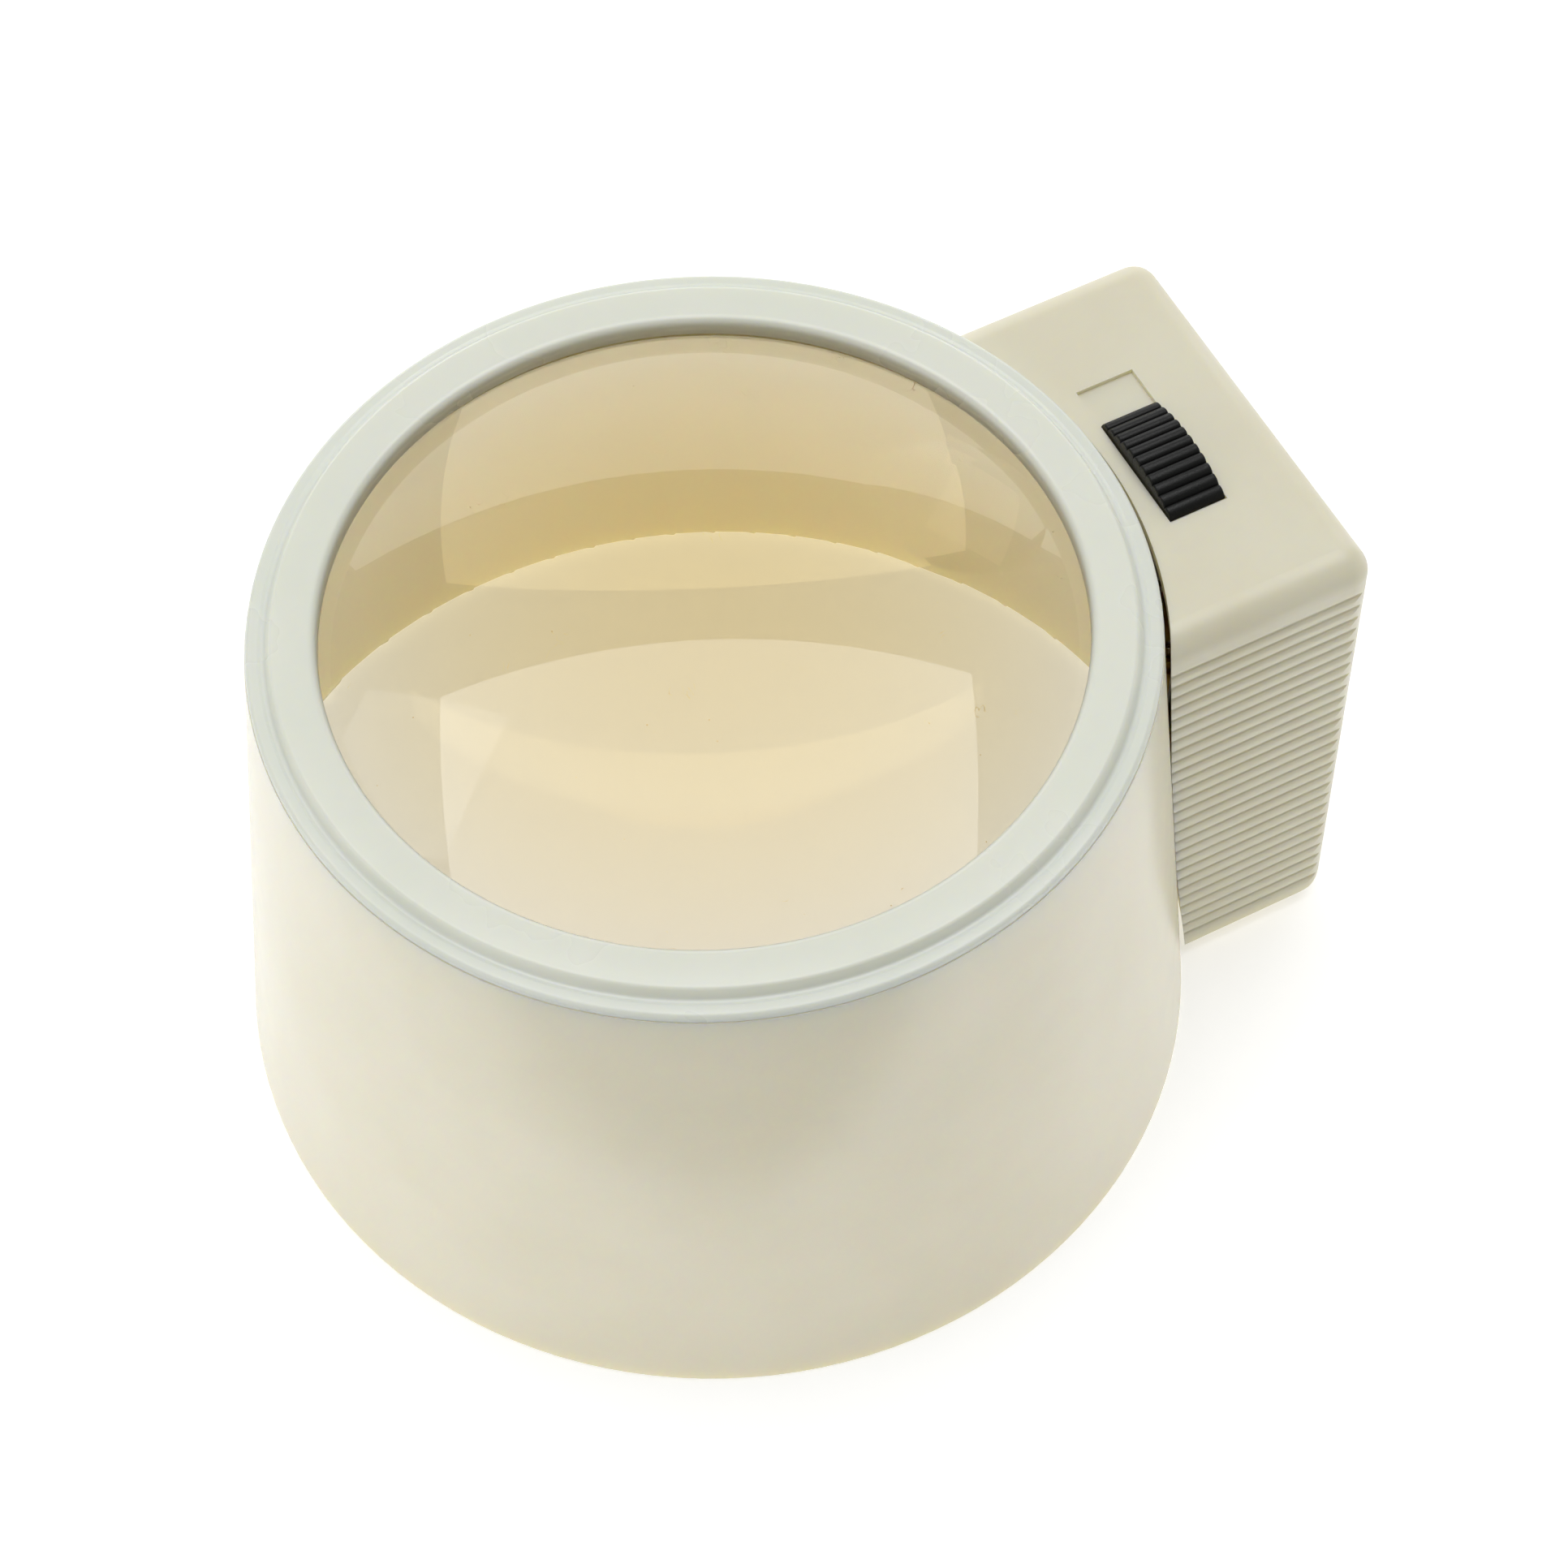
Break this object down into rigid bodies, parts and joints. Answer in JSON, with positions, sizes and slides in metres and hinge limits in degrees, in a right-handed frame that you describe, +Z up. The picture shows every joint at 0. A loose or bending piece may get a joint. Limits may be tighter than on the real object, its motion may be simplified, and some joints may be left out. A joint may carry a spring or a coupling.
{
  "type": "illuminated stand magnifier",
  "caption": "Illuminated stand magnifier: a convex lens held over the page by a cone-shaped stand, with a side battery case, slide switch and inner lamp.",
  "frame": {"origin": "on the lens axis, in the plane of the stand's base rim", "axes": "+Z up along the lens axis, +X from the lens axis to the battery case, +Y along the switch knob's travel"},
  "size_m": [0.1128, 0.1002, 0.0677],
  "materials": {
    "stand_plastic": "gloss moulded, cream",
    "ring_plastic": "satin-gloss moulded, off-white",
    "lens_acrylic": "polished, faint amber tint",
    "case_plastic": "satin moulded, aged cream",
    "plated_steel": "nickel plated",
    "cell_jacket": "gloss sleeve",
    "insulator_plastic": "matt moulded",
    "brown_laminate": "sawn laminate",
    "brass": "bright",
    "black_plastic": "satin moulded, black",
    "clear_plastic": "clear moulded",
    "bulb_glass": "blown clear glass",
    "tungsten": "drawn wire",
    "bright_aluminium": "bright rolled",
    "red_wire": "insulated wire, red",
    "black_wire": "insulated wire, black"
  },
  "bodies": {
    "stand": {"stand_body": "stand_plastic", "retaining_ring": "ring_plastic", "lens": "lens_acrylic", "battery_case": "case_plastic", "cell_upright": "cell_jacket", "cell_inverted": "cell_jacket", "contact_carrier": "insulator_plastic", "positive_contact": "plated_steel", "negative_contact": "plated_steel", "cell_spring": "plated_steel", "switch_cover": "plated_steel", "switch_base": "brown_laminate", "switch_terminals": "brass", "lamp_window": "clear_plastic", "lamp_block": "insulator_plastic", "lamp_centre_contact": "brass", "lamp_sleeve": "brass", "bulb_cap": "brass", "bulb_glass": "bulb_glass", "bulb_filament": "tungsten", "lamp_reflector": "bright_aluminium", "case_screws": "plated_steel", "carrier_screws": "plated_steel", "wire_cell_to_switch": "red_wire", "wire_switch_to_lamp": "red_wire", "wire_lamp_to_cell": "black_wire"},
    "switch": {"switch_knob": "black_plastic", "switch_slider": "black_plastic", "switch_wiper": "brass"},
    "door": {"battery_door": "case_plastic", "door_contact_strip": "plated_steel"}
  },
  "joints": [
    {"name": "switch_slide", "type": "slide", "parent": "stand", "child": "switch", "axis": [0, 1, 0], "range_m": [0, 0.0048]},
    {"name": "door_slide", "type": "slide", "parent": "stand", "child": "door", "axis": [1, 0, 0], "range_m": [0, 0.018]}
  ]
}
